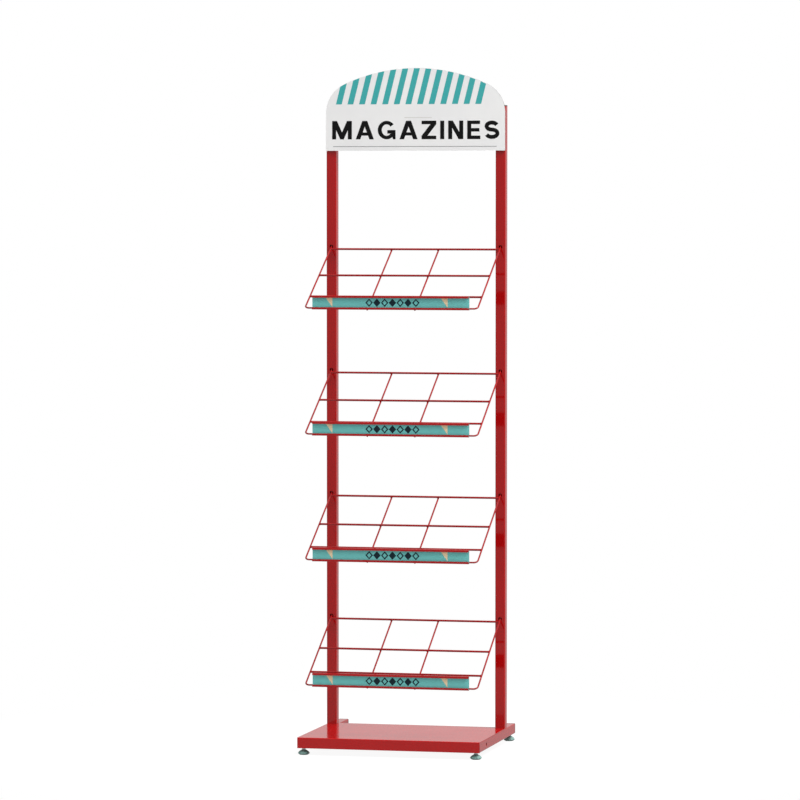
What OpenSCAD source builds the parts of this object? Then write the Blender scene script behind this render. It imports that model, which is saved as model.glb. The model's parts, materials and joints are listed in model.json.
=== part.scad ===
// Periodical display rack.
// Two square-tube posts stand on a low base of rails and a sheet-metal tray, and
// carry a printed header and four sloping wire shelves with label channels.
// Millimetres. +X is to the right, +Y to the back, +Z up. The origin is on the
// floor, at the middle of the footprint.

/* [Stand] */
// Width over the outer faces of the two posts
stand_w = 452; // [400:1:540]
// From the front faces of the posts to the front of the base
base_reach = 295; // [260:1:340]
// From the front faces of the posts to the rear end of the base
base_tail = 126; // [100:1:160]
// Height of the underside of the rails above the floor
base_gap = 17; // [16:0.5:24]
// Length of a post
post_h = 1530; // [1440:1:1700]

/* [Square tube] */
// Side of the square tube of posts, rails and cross rail
tube_w = 25; // [23:1:30]
// Wall of the square tube
tube_t = 1.5; // [1.2:0.1:1.8]
// Outer corner radius of the square tube
tube_r = 2.5; // [2:0.5:4]

/* [Tray] */
// Thickness of the tray's sheet metal
tray_t = 1; // [0.8:0.1:1.5]
// Outer radius of the fold along the tray's front edge
tray_fold_r = 2; // [2:0.5:4]
// Height of the stiffening lip along the tray's rear edge
tray_rear_lip = 15; // [8:1:20]
// From the front faces of the posts to the middle of the cross rail
cross_reach = 216; // [150:1:225]

/* [End caps] */
// Thickness of the cap head on the rear end of a rail
rail_cap_t = 5; // [3:0.5:6]
// How far a rail cap's plug goes into the tube
rail_plug = 5; // [3:0.5:5]
// Thickness of the cap head on top of a post
post_cap_t = 2.5; // [2:0.5:5]
// How far a post cap's plug goes into the tube
post_plug = 12; // [8:1:20]
// Gap between a plug and the tube's inner wall
plug_play = 0.3; // [0.1:0.1:0.5]

/* [Feet] */
// Diameter of a foot pad at its rim, the widest part
pad_d = 29; // [24:1:36]
// Diameter of the pad's flat underside
pad_sole_d = 20; // [16:1:22]
// Height of the rim above the floor
pad_rim_z = 3.5; // [2:0.5:5]
// Thickness of the rim at its edge
pad_rim_t = 1; // [0.5:0.5:2]
// Diameter of the pad's hub at its top
hub_d = 10; // [9:0.5:13]
// Diameter of the threaded stud
stud_d = 6; // [5:0.5:7]
// Width across the flats of the stud's hexagon
stud_hex_af = 8; // [7.5:0.5:10]
// Height of the stud's hexagon
stud_hex_h = 4; // [3:0.5:5]
// How far the stud reaches above the underside of the rail
stud_reach = 21; // [18:0.5:22]
// From the front of the base to the middle of a front foot
front_foot_inset = 16; // [16:1:40]
// From the rear end of the base to the middle of a rear foot
rear_foot_inset = 16; // [16:1:40]
// Height of the nut welded inside the rail over each foot
foot_nut_h = 6; // [5:0.5:8]
// Width across the flats of that nut
foot_nut_af = 10; // [9.5:0.5:13]

/* [Screws] */
// Thread diameter of the screws that hold the posts
post_screw_d = 8; // [6:0.5:10]
// Head diameter of those screws
post_screw_head_d = 13; // [12:0.5:16]
// Head height of those screws
post_screw_head_h = 8; // [5:0.5:10]
// Thickness of the threaded plate in the foot of a post
post_plate_t = 8; // [5:0.5:12]
// Thread diameter of the screws that hold the cross rail
cross_screw_d = 5; // [4:0.5:6]
// Head diameter of those screws
cross_screw_head_d = 8.5; // [8:0.5:10]
// Head height of those screws
cross_screw_head_h = 5; // [4:0.5:6]
// Length of the threaded plugs in the ends of the cross rail
cross_plug = 12; // [8:1:20]

/* [Header] */
// Height of the header panel at its middle
header_h = 203; // [180:1:260]
// Thickness of the header panel
header_t = 4; // [3:0.5:8]
// Radius of the long arc along the header's top
header_top_r = 430; // [380:5:500]
// Radius of the header's shoulders
header_shoulder_r = 80; // [50:1:95]
// How far the header reaches down over the posts
header_lap = 108.5; // [90:0.5:130]
// Thickness of the mounting tape behind the header
tape_t = 1; // [0.6:0.1:2]
// Width of the mounting tape
tape_w = 19; // [12:1:22]
// Length of each strip of mounting tape
tape_l = 85; // [50:1:88]

/* [Shelves] */
// Height of the lowest hook holes above the tray
low_hook_h = 270.5; // [220:0.5:300]
// Height from one shelf to the next
shelf_pitch = 305; // [295:1:340]
// Slope of the shelves below the horizontal, in degrees
shelf_angle = 28.5; // [24:0.5:32]
// Length of a shelf along its slope, from post to front wire
shelf_run = 301.5; // [270:0.5:310]
// Diameter of the shelf's frame wire
frame_wire_d = 4; // [3.5:0.5:6]
// Diameter of the shelf's cross wires
cross_wire_d = 5; // [4:0.5:6]
// Bend radius of the frame wire at its front corners
corner_r = 10; // [6:1:18]
// Distance of the top cross wire down the slope
top_wire_s = 11; // [9:0.5:20]
// Distance of the middle cross wire down the slope
mid_wire_s = 142.5; // [100:0.5:180]
// Distance of the low cross wire down the slope
low_wire_s = 246; // [200:1:260]
// Diameter of the two divider wires under the cross wires
divider_wire_d = 4; // [3:0.5:5]
// Distance between the two divider wires
divider_gap = 118; // [80:1:200]
// How far a divider wire reaches past the middles of the wires at its ends
divider_tip = 1; // [0.5:0.5:4]

/* [Hooks] */
// Diameter of the hook holes in the posts
hook_hole_d = 9; // [8.5:0.1:10]
// Bend radius of the hooks
hook_r = 4; // [3.5:0.5:4.5]
// Length of the straight upright end of a hook
hook_leg = 14; // [8:1:15]
// Gap between a hook and the post that holds it
hook_play = 0.3; // [0.1:0.05:0.4]

/* [Label channel] */
// Length of a label channel
channel_w = 388; // [340:1:390]
// Height of a label channel
channel_h = 34; // [28:1:45]
// Depth of a label channel from back to front
channel_d = 7; // [5:0.5:9]
// How far a label channel reaches below the front wire
channel_drop = 1.5; // [0:0.5:4]
// Thickness of the channel's sheet metal
channel_t = 1; // [0.8:0.1:1.2]
// Outer radius of the channel's folds
channel_fold_r = 1.5; // [1.5:0.5:2]
// Height of the lips that hold the label
channel_lip = 5.5; // [4:0.5:8]
// Thickness of the label strip
label_t = 0.8; // [0.4:0.1:1.5]
// Gap between the label strip and the channel
label_play = 0.3; // [0.1:0.1:0.5]

/* [Hidden] */

$fn = 48;
arc_fn = 180;           // sides of the header's long arcs
shelf_count = 4;
cut = 1;                // how far a cutting shape reaches past the surface it opens
screw_play = 0.3;       // radial gap of a screw in its clearance hole
thread_play = 0.08;     // radial gap of a thread, drawn as a plain cylinder, in its nut
head_play = 0.25;       // radial gap of a screw head in its access hole
seat_play = 0.3;        // gap between the hexagon of a foot stud and the rail
pad_floor = 5;          // thickness of a foot pad under its stud
shoulder_blend = 0.1;   // how far the header's shoulders run past its long arc

red_paint = [0.65, 0.14, 0.16];
dark_plastic = [0.13, 0.13, 0.14];
foot_plastic = [0.27, 0.38, 0.35];
zinc = [0.72, 0.73, 0.72];
header_white = [0.91, 0.91, 0.90];
tape_grey = [0.45, 0.45, 0.45];
label_teal = [0.37, 0.66, 0.65];

// Placement of the posts: the footprint is centred on Y = 0
post_front_y = (base_reach - base_tail) / 2;
post_x = stand_w / 2 - tube_w / 2;
post_mid_y = post_front_y + tube_w / 2;
base_front_y = post_front_y - base_reach;
base_rear_y = post_front_y + base_tail;
rail_top_z = base_gap + tube_w;
rail_mid_z = base_gap + tube_w / 2;
post_foot_z = rail_top_z + tray_t;
post_top_z = post_foot_z + post_h;
inner_w = tube_w - 2 * tube_t;
rail_front_y = base_front_y + tray_fold_r;
rail_len = base_rear_y - rail_cap_t - rail_front_y;
cross_y = post_front_y - cross_reach;
cross_len = stand_w - 2 * tube_w;
header_z = post_top_z - header_lap;

// Feet
foot_front_y = base_front_y + front_foot_inset;
foot_rear_y = base_rear_y - rear_foot_inset;
hex_top_z = base_gap - seat_play;
hex_foot_z = hex_top_z - stud_hex_h;
pad_top_z = hex_foot_z;

// Shelves: the wires pass the middle of the post's front wall at the pivot
wire_r = frame_wire_d / 2;
cross_r = cross_wire_d / 2;
divider_r = divider_wire_d / 2;
pivot_y = post_front_y + tube_t / 2;
hole_rise = hook_hole_d / 2 - hook_play - wire_r / cos(shelf_angle)
    - tube_t / 2 * tan(shelf_angle);
hook_run = (tube_t / 2 + hook_play + wire_r - hook_r * (1 - sin(shelf_angle)))
    / cos(shelf_angle);
front_wire_y = pivot_y - shelf_run * cos(shelf_angle);
front_wire_drop = shelf_run * sin(shelf_angle);

// Height of the hook holes of shelf i above the floor; shelf 1 is the highest
function hole_z(i) = post_foot_z + low_hook_h + (shelf_count - i) * shelf_pitch;
// Height at which the wires of shelf i pass the post's front wall
function pivot_z(i) = hole_z(i) - hole_rise;
// Height of the underside of the label channel of shelf i
function channel_z(i) = pivot_z(i) - front_wire_drop - wire_r - channel_drop;

// ---------- shared shapes ----------

// A rectangle with four round corners, centred
module rounded_rect(w, h, r) {
    square([w - 2 * r, h], center = true);
    square([w, h - 2 * r], center = true);
    for (x = [-1, 1], y = [-1, 1])
        translate([x * (w / 2 - r), y * (h / 2 - r)]) circle(r);
}

// A length of the square tube, standing on the XY plane
module square_tube(length) {
    difference() {
        linear_extrude(length) rounded_rect(tube_w, tube_w, tube_r);
        translate([0, 0, -cut])
            linear_extrude(length + 2 * cut)
                rounded_rect(inner_w, inner_w, tube_r - tube_t);
    }
}

// An end cap for the square tube: the head above the XY plane, the plug below
module tube_cap(head, plug) {
    plug_w = inner_w - 2 * plug_play;
    linear_extrude(head) rounded_rect(tube_w, tube_w, tube_r);
    translate([0, 0, -plug])
        linear_extrude(plug) rounded_rect(plug_w, plug_w, tube_r - tube_t);
}

// A cap screw with its head above the XY plane and its thread below
module cap_screw(d, head_d, head_h, length) {
    socket_af = d * 0.8;
    difference() {
        union() {
            cylinder(d = head_d, h = head_h);
            translate([0, 0, -length]) cylinder(d = d, h = length);
        }
        translate([0, 0, head_h / 2])
            cylinder(d = socket_af / cos(30), h = head_h, $fn = 6);
    }
}

// A straight round wire from the origin along +Y
module wire(d, length) {
    rotate([-90, 0, 0]) cylinder(d = d, h = length);
}

// A straight round wire along X, centred on the origin
module cross_wire(d, length) {
    rotate([0, 90, 0]) cylinder(d = d, h = length, center = true);
}

// The frame of shelf i: origin at its pivot, -Y down the slope, Z off the wires
module on_slope(i) {
    translate([0, pivot_y, pivot_z(i)]) rotate([shelf_angle, 0, 0]) children();
}

// ---------- base ----------

// A side rail; side is -1 on the left and 1 on the right
module rail(side) {
    color(red_paint) difference() {
        translate([side * post_x, rail_front_y, rail_mid_z])
            rotate([-90, 0, 0]) square_tube(rail_len);
        for (y = [foot_front_y, foot_rear_y])
            translate([side * post_x, y, base_gap - cut])
                cylinder(d = stud_d + 2 * screw_play, h = tube_t + 2 * cut);
        translate([side * post_x, post_mid_y, base_gap - cut])
            cylinder(d = post_screw_head_d + 2 * head_play, h = tube_t + 2 * cut);
        translate([side * post_x, post_mid_y, rail_top_z - tube_t - cut])
            cylinder(d = post_screw_d + 2 * screw_play, h = tube_t + 2 * cut);
        translate([side * (stand_w / 2 - tube_t - cut), cross_y, rail_mid_z])
            rotate([0, side * 90, 0])
                cylinder(d = cross_screw_head_d + 2 * head_play, h = tube_t + 2 * cut);
        translate([side * (cross_len / 2 - cut), cross_y, rail_mid_z])
            rotate([0, side * 90, 0])
                cylinder(d = cross_screw_d + 2 * screw_play, h = tube_t + 2 * cut);
    }
}

module rail_cap(side) {
    color(dark_plastic)
        translate([side * post_x, base_rear_y - rail_cap_t, rail_mid_z])
            rotate([-90, 0, 0]) tube_cap(rail_cap_t, rail_plug);
}

// Sheet tray: it lies on the rails, closes their front ends and ends under the posts
module base_tray() {
    plate_len = base_reach + tube_w;
    tray_h = tube_w + tray_t;
    color(red_paint) difference() {
        union() {
            rotate([90, 0, 90])
                linear_extrude(stand_w, center = true)
                    translate([base_front_y, base_gap])
                        tray_profile(plate_len, tray_h);
            translate([0, post_front_y + tube_w - tray_t / 2, rail_top_z - tray_rear_lip / 2])
                cube([cross_len - 2 * screw_play, tray_t, tray_rear_lip], center = true);
        }
        for (side = [-1, 1])
            translate([side * post_x, post_mid_y, rail_top_z - cut])
                cylinder(d = post_screw_d + 2 * screw_play, h = tray_t + 2 * cut);
    }
}

// Cross-section of the tray: a plate with a lip folded down at its front
module tray_profile(length, height) {
    square([tray_t, height - tray_fold_r]);
    translate([tray_fold_r, height - tray_t]) square([length - tray_fold_r, tray_t]);
    translate([tray_fold_r, height - tray_fold_r])
        intersection() {
            difference() {
                circle(tray_fold_r);
                circle(tray_fold_r - tray_t);
            }
            translate([-tray_fold_r, 0]) square(tray_fold_r);
        }
}

module cross_rail() {
    color(red_paint) translate([0, cross_y, rail_mid_z])
        rotate([0, 90, 0]) translate([0, 0, -cross_len / 2]) square_tube(cross_len);
}

module cross_rail_plugs() {
    plug_w = inner_w - 2 * plug_play;
    color(zinc) for (side = [-1, 1])
        translate([side * cross_len / 2, cross_y, rail_mid_z])
            rotate([0, -side * 90, 0]) difference() {
                linear_extrude(cross_plug) rounded_rect(plug_w, plug_w, tube_r - tube_t);
                translate([0, 0, -cut])
                    cylinder(d = cross_screw_d + 2 * thread_play, h = cross_plug + 2 * cut);
            }
}

module cross_rail_screws() {
    color(zinc) for (side = [-1, 1])
        translate([side * (cross_len / 2 + tube_t), cross_y, rail_mid_z])
            rotate([0, side * 90, 0])
                cap_screw(cross_screw_d, cross_screw_head_d, cross_screw_head_h,
                    tube_t + cross_plug);
}

// ---------- feet ----------

// Puts its children at a foot: side -1 left, 1 right; y is the foot's middle
module at_foot(side, y) {
    translate([side * post_x, y, 0]) children();
}

module foot_nuts() {
    color(zinc) for (side = [-1, 1], y = [foot_front_y, foot_rear_y])
        at_foot(side, y) translate([0, 0, base_gap + tube_t]) difference() {
            cylinder(d = foot_nut_af / cos(30), h = foot_nut_h, $fn = 6);
            translate([0, 0, -cut])
                cylinder(d = stud_d + 2 * thread_play, h = foot_nut_h + 2 * cut);
        }
}

// Pad that flares from its sole to a rim, then narrows to a hub with a blind socket
// for the end of the stud
module foot_pad(side, y) {
    color(foot_plastic) at_foot(side, y) difference() {
        rotate_extrude($fn = 64)
            polygon([[0, 0], [pad_sole_d / 2, 0], [pad_d / 2, pad_rim_z],
                [pad_d / 2, pad_rim_z + pad_rim_t], [hub_d / 2, pad_top_z], [0, pad_top_z]]);
        translate([0, 0, pad_floor])
            cylinder(d = stud_d + 2 * thread_play, h = pad_top_z);
    }
}

// Stud fixed in its pad, with a hexagon for a spanner
module foot_stud(side, y) {
    color(zinc) at_foot(side, y) {
        translate([0, 0, pad_floor])
            cylinder(d = stud_d, h = base_gap + stud_reach - pad_floor);
        translate([0, 0, hex_foot_z])
            cylinder(d = stud_hex_af / cos(30), h = stud_hex_h, $fn = 6);
    }
}

// ---------- posts ----------

// A post with a hook hole in its front wall for each shelf
module post(side) {
    color(red_paint) difference() {
        translate([side * post_x, post_mid_y, post_foot_z]) square_tube(post_h);
        for (i = [1 : shelf_count])
            translate([side * post_x, post_front_y - cut, hole_z(i)])
                rotate([-90, 0, 0]) cylinder(d = hook_hole_d, h = tube_t + 2 * cut);
    }
}

module post_cap(side) {
    color(dark_plastic) translate([side * post_x, post_mid_y, post_top_z])
        tube_cap(post_cap_t, post_plug);
}

module post_plates() {
    plate_w = inner_w - 2 * plug_play;
    color(zinc) for (side = [-1, 1])
        translate([side * post_x, post_mid_y, post_foot_z]) difference() {
            linear_extrude(post_plate_t) rounded_rect(plate_w, plate_w, tube_r - tube_t);
            translate([0, 0, -cut])
                cylinder(d = post_screw_d + 2 * thread_play, h = post_plate_t + 2 * cut);
        }
}

// The screws' heads bear on the inside of the rails' upper walls
module post_screws() {
    color(zinc) for (side = [-1, 1])
        translate([side * post_x, post_mid_y, rail_top_z - tube_t])
            rotate([180, 0, 0])
                cap_screw(post_screw_d, post_screw_head_d, post_screw_head_h,
                    tube_t + tray_t + post_plate_t);
}

// ---------- header ----------

// Outline of the header: straight sides, round shoulders and one long top arc. The
// shoulders run a hair past the long arc, which trims them, so the arcs truly cross.
module header_outline() {
    half_w = stand_w / 2;
    long_y = header_h - header_top_r;
    side_x = half_w - header_shoulder_r;
    link = header_top_r - header_shoulder_r + shoulder_blend;
    turn = acos(side_x / link);
    side_y = long_y + link * sin(turn);
    far_x = (header_top_r + cut) * cos(turn);
    far_y = long_y + (header_top_r + cut) * sin(turn);
    intersection() {
        translate([0, long_y]) circle(header_top_r, $fn = 2 * arc_fn);
        union() {
            polygon([[-half_w, 0], [half_w, 0], [half_w, side_y], [side_x, side_y],
                [far_x, far_y], [far_x, header_h + cut], [-far_x, header_h + cut],
                [-far_x, far_y], [-side_x, side_y], [-half_w, side_y]]);
            for (side = [-1, 1]) translate([side * side_x, side_y]) intersection() {
                circle(header_shoulder_r, $fn = arc_fn);
                translate([-header_shoulder_r - cut, 0])
                    square(2 * (header_shoulder_r + cut));
            }
        }
    }
}

module header_panel() {
    color(header_white) translate([0, post_front_y - tape_t, header_z])
        rotate([90, 0, 0]) linear_extrude(header_t) header_outline();
}

module header_tapes() {
    color(tape_grey) for (side = [-1, 1])
        translate([side * post_x, post_front_y - tape_t / 2, header_z + header_lap / 2])
            cube([tape_w, tape_t, tape_l], center = true);
}

// ---------- shelves ----------

// One bent wire: two side arms, the front wire between them, and a hook at each end
module shelf_frame(i) {
    arm = shelf_run - corner_r;
    front = 2 * (post_x - corner_r);
    hook_turn = 90 - shelf_angle;
    color(red_paint) on_slope(i) {
        for (side = [-1, 1]) {
            translate([side * post_x, -arm, 0]) wire(frame_wire_d, arm + hook_run);
            translate([side * (post_x - corner_r), -arm, 0])
                rotate([0, 0, side > 0 ? -90 : 180])
                    rotate_extrude(angle = 90) translate([corner_r, 0]) circle(wire_r);
            translate([side * post_x, hook_run, hook_r]) rotate([0, -90, 180])
                rotate([0, 0, 180]) rotate_extrude(angle = hook_turn)
                    translate([hook_r, 0]) circle(wire_r);
            translate([side * post_x, hook_run, hook_r]) rotate([hook_turn, 0, 0])
                translate([0, 0, -hook_r]) wire(frame_wire_d, hook_leg);
        }
        translate([0, -shelf_run, 0]) cross_wire(frame_wire_d, front);
    }
}

// Three straight wires welded between the side arms, level with them underneath
module shelf_cross_wires(i) {
    color(red_paint) on_slope(i) for (s = [top_wire_s, mid_wire_s, low_wire_s])
        translate([0, -s, cross_r - wire_r])
            cross_wire(cross_wire_d, 2 * (post_x - wire_r));
}

// Two thinner wires welded under the cross wires and the front wire
module shelf_dividers(i) {
    length = shelf_run - top_wire_s + 2 * divider_tip;
    color(red_paint) on_slope(i) for (side = [-1, 1])
        translate([side * divider_gap / 2, -shelf_run - divider_tip, -wire_r - divider_r])
            wire(divider_wire_d, length);
}

// Cross-section of a label channel: a folded C that opens to the front (-X)
module channel_profile() {
    difference() {
        rounded_rect(channel_d, channel_h, channel_fold_r);
        rounded_rect(channel_d - 2 * channel_t, channel_h - 2 * channel_t,
            channel_fold_r - channel_t);
        translate([-channel_d / 2, 0])
            square([2 * channel_t + cut, channel_h - 2 * channel_lip], center = true);
    }
}

// The channel is welded to the front of the front wire
module shelf_channel(i) {
    color(red_paint)
        translate([0, front_wire_y - wire_r - channel_d / 2, channel_z(i) + channel_h / 2])
            rotate([90, 0, 90]) linear_extrude(channel_w, center = true) channel_profile();
}

// Printed strip that slides sideways out of its channel
module label(i) {
    label_h = channel_h - 2 * channel_t - 2 * label_play;
    color(label_teal)
        translate([0, front_wire_y - wire_r - channel_t - label_play - label_t / 2,
                channel_z(i) + channel_t + label_play + label_h / 2])
            cube([channel_w, label_t, label_h], center = true);
}

// ---------- nodes ----------

rail(-1);  // left_rail
rail(1);  // right_rail
rail_cap(-1);  // left_rail_cap
rail_cap(1);  // right_rail_cap
base_tray();
cross_rail();
cross_rail_plugs();
cross_rail_screws();
foot_nuts();
post(-1);  // left_post
post(1);  // right_post
post_cap(-1);  // left_post_cap
post_cap(1);  // right_post_cap
post_plates();
post_screws();
header_panel();
header_tapes();
foot_pad(-1, foot_front_y);  // front_left_foot_pad
foot_stud(-1, foot_front_y);  // front_left_foot_stud
foot_pad(1, foot_front_y);  // front_right_foot_pad
foot_stud(1, foot_front_y);  // front_right_foot_stud
foot_pad(-1, foot_rear_y);  // rear_left_foot_pad
foot_stud(-1, foot_rear_y);  // rear_left_foot_stud
foot_pad(1, foot_rear_y);  // rear_right_foot_pad
foot_stud(1, foot_rear_y);  // rear_right_foot_stud
for (i = [1 : shelf_count]) {
    shelf_frame(i);
    shelf_cross_wires(i);
    shelf_dividers(i);
    shelf_channel(i);
    label(i);
}
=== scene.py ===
# Looks of the periodical display rack: finishes, printed graphics, welds, feet, caps,
# floor, light and camera, all in the row frame and in metres.
import json
import math
import bmesh
import bpy
from mathutils import Matrix, Vector, noise

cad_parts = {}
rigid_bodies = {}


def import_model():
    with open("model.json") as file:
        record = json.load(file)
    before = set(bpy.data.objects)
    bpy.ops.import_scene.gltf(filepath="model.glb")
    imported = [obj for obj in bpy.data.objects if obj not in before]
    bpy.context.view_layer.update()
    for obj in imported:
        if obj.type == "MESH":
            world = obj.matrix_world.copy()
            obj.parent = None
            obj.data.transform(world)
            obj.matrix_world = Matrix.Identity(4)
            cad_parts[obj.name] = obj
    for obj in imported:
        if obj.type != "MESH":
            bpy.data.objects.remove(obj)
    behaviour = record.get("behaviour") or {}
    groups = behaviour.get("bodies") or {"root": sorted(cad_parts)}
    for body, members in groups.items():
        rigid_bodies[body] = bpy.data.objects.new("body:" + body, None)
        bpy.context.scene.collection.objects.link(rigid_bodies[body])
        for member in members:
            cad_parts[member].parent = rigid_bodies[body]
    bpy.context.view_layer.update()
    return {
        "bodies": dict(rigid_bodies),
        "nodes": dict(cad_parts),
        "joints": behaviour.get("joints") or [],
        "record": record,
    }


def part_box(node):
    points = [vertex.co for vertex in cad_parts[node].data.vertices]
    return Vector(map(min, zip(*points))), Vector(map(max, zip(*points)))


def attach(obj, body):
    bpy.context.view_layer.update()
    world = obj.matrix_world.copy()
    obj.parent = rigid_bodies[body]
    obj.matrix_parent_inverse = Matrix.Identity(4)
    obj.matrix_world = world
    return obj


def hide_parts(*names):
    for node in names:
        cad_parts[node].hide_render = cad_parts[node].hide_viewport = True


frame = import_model()
cad = frame["nodes"]
joints = {joint["name"]: joint for joint in frame["joints"]}

# ---------- sizes that several sections share ----------

MM = 0.001
SHELVES = (1, 2, 3, 4)
SIDES = (-1, 1)
FEET = ("front_left", "front_right", "rear_left", "rear_right")

# Thickness of a printed layer
PRINT_T = 0.1 * MM


def middle(node):
    """Middle of a CAD node's box."""
    low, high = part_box(node)
    return (low + high) / 2


# ---------- colours and shader graphs ----------

WHITE = (1, 1, 1, 1)

# A Mix node's sockets for colours
MIX_A = 6
MIX_B = 7
MIX_RESULT = 2

# Worn edges: the bevel's samples, and how far its normal turns where wear starts and is full
EDGE_SAMPLES = 6
EDGE_START_COSINE = 0.995
EDGE_FULL_COSINE = 0.8


def srgb(red, green, blue):
    """A colour given in display values 0 to 255, as linear RGBA."""
    parts = []
    for value in (red, green, blue):
        v = value / 255
        parts.append(v / 12.92 if v <= 0.04045 else ((v + 0.055) / 1.055) ** 2.4)
    return (*parts, 1.0)


class Graph:
    """An empty node tree and short ways to fill it."""

    def __init__(self, tree):
        self.tree = tree
        self.tree.nodes.clear()

    def add(self, kind, **settings):
        """A new node; the settings are its own, such as operation."""
        node = self.tree.nodes.new(kind)
        for setting, value in settings.items():
            setattr(node, setting, value)
        return node

    def join(self, source, target):
        """Links an output to an input."""
        self.tree.links.new(source, target)

    def feed(self, target, value):
        """Puts a number, a colour or another node's output on a socket."""
        if isinstance(value, bpy.types.NodeSocket):
            self.join(value, target)
        else:
            target.default_value = value

    def filled(self, node, *values):
        """Feeds the node's sockets in their order, and returns the node."""
        for socket, value in zip(node.inputs, values):
            self.feed(socket, value)
        return node

    def show(self, shader, output="ShaderNodeOutputMaterial"):
        """Ends the tree in its output node."""
        self.join(shader, self.add(output).inputs["Surface"])

    def coordinates(self, kind):
        """Texture coordinates, such as Object."""
        return self.add("ShaderNodeTexCoord").outputs[kind]

    def split(self, vector):
        """A vector's outputs X, Y and Z."""
        return self.filled(self.add("ShaderNodeSeparateXYZ"), vector).outputs

    def math(self, operation, *values):
        """The result of arithmetic on numbers."""
        return self.filled(self.add("ShaderNodeMath", operation=operation), *values).outputs[0]

    def vector(self, operation, *values):
        """A node of vector arithmetic."""
        return self.filled(self.add("ShaderNodeVectorMath", operation=operation), *values)

    def span(self, value, low, high, to=(0.0, 1.0)):
        """Maps low..high smoothly to the range to, and clamps beyond it."""
        node = self.add("ShaderNodeMapRange", interpolation_type="SMOOTHSTEP")
        return self.filled(node, value, low, high, *to).outputs[0]

    def between(self, factor, shader_a, shader_b):
        """Shader a at factor 0, shader b at factor 1."""
        return self.filled(self.add("ShaderNodeMixShader"), factor, shader_a, shader_b).outputs[0]

    def by_ray(self, soft, gloss, camera):
        """One shader for matt light, one for reflections and one for the camera."""
        ray = self.add("ShaderNodeLightPath").outputs
        lit = self.between(ray["Is Glossy Ray"], soft, gloss)
        return self.between(ray["Is Camera Ray"], lit, camera)

    def emission(self, strength):
        """White light from a surface."""
        return self.filled(self.add("ShaderNodeEmission"), WHITE, strength).outputs[0]

    def background(self, strength):
        """White light from the world."""
        return self.filled(self.add("ShaderNodeBackground"), WHITE, strength).outputs[0]

    def matt_grey(self, level):
        """A matt surface; level is its linear brightness."""
        return self.filled(self.add("ShaderNodeBsdfDiffuse"), (level, level, level, 1)).outputs[0]


class Finish(Graph):
    """One material: a Principled shader and short ways to feed it."""

    def __init__(self, name, roughness, **sockets):
        self.material = bpy.data.materials.new(name)
        self.material.use_nodes = True
        super().__init__(self.material.node_tree)
        self.shader = self.add("ShaderNodeBsdfPrincipled")
        self.shader.inputs["Roughness"].default_value = roughness
        for socket, value in sockets.items():
            self.shader.inputs[socket.replace("_", " ")].default_value = value
        self.show(self.shader.outputs[0])
        self.place = self.coordinates("Object")

    def stretch(self, x, y, z):
        """Object coordinates scaled by x, y and z."""
        return self.vector("MULTIPLY", self.place, (x, y, z)).outputs[0]

    def noise(self, scale, detail, roughness=0.5, place=None):
        """Soft noise, scale in waves a metre."""
        node = self.add("ShaderNodeTexNoise")
        self.join(place or self.place, node.inputs["Vector"])
        node.inputs["Scale"].default_value = scale
        node.inputs["Detail"].default_value = detail
        node.inputs["Roughness"].default_value = roughness
        return node.outputs["Fac"]

    def cells(self, scale):
        """Distance to the middle of the nearest cell, scale in cells a metre."""
        node = self.add("ShaderNodeTexVoronoi")
        self.join(self.place, node.inputs["Vector"])
        node.inputs["Scale"].default_value = scale
        return node.outputs["Distance"]

    def blend(self, factor, a, b):
        """A colour between a and b."""
        node = self.add("ShaderNodeMix", data_type="RGBA")
        self.feed(node.inputs[0], factor)
        self.feed(node.inputs[MIX_A], a)
        self.feed(node.inputs[MIX_B], b)
        return node.outputs[MIX_RESULT]

    def edges(self, radius):
        """Near 1 along sharp edges, 0 on open faces."""
        bevel = self.add("ShaderNodeBevel", samples=EDGE_SAMPLES)
        bevel.inputs["Radius"].default_value = radius
        normal = self.add("ShaderNodeNewGeometry").outputs["Normal"]
        cosine = self.vector("DOT_PRODUCT", bevel.outputs[0], normal).outputs["Value"]
        return self.span(cosine, EDGE_START_COSINE, EDGE_FULL_COSINE)

    def colour(self, value):
        """Sets or feeds the base colour."""
        self.feed(self.shader.inputs["Base Color"], value)

    def roughness(self, value):
        """Sets or feeds the roughness."""
        self.feed(self.shader.inputs["Roughness"], value)

    def relief(self, height, strength, depth):
        """Adds a layer of bump on top of those already there."""
        node = self.add("ShaderNodeBump")
        node.inputs["Strength"].default_value = strength
        node.inputs["Distance"].default_value = depth
        self.join(height, node.inputs["Height"])
        normal = self.shader.inputs["Normal"]
        if normal.is_linked:
            self.join(normal.links[0].from_socket, node.inputs["Normal"])
        self.join(node.outputs[0], normal)


# ---------- finishes ----------

def red_enamel(name, body, deep, edge, gloss):
    """Glossy stoved enamel: slow shade changes, orange peel, and lighter edges, partly thin paint and
    partly a painted highlight.
    """
    finish = Finish(name, gloss, IOR=1.5)
    drift = finish.noise(scale=6, detail=2)
    flow = finish.noise(scale=60, detail=3, place=finish.stretch(1, 1, 0.25))
    shade = finish.math("ADD", drift, finish.math("MULTIPLY", flow, 0.4))
    paint = finish.blend(finish.span(shade, 0.45, 0.95), body, deep)
    # Edges turn lighter: in part thin, worn paint, in part a painted highlight along them.
    thin = finish.span(finish.noise(scale=90, detail=4), 0.4, 0.75, to=(0.0, 0.45))
    worn_and_highlit_edges = finish.math("MULTIPLY", finish.edges(radius=0.8 * MM), thin)
    finish.colour(finish.blend(worn_and_highlit_edges, paint, edge))
    cloud = finish.noise(scale=14, detail=4, roughness=0.6)
    smear = finish.span(cloud, 0.35, 0.75, to=(gloss * 0.94, gloss * 1.08))
    specks = finish.span(finish.cells(scale=150), 0.01, 0.04, to=(0.12, 0.0))
    finish.roughness(finish.math("ADD", smear, specks))
    orange_peel = finish.noise(scale=300, detail=2)
    waves = finish.noise(scale=30, detail=1)
    finish.relief(orange_peel, strength=0.03, depth=0.01 * MM)
    finish.relief(waves, strength=0.03, depth=0.02 * MM)
    return finish.material


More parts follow.
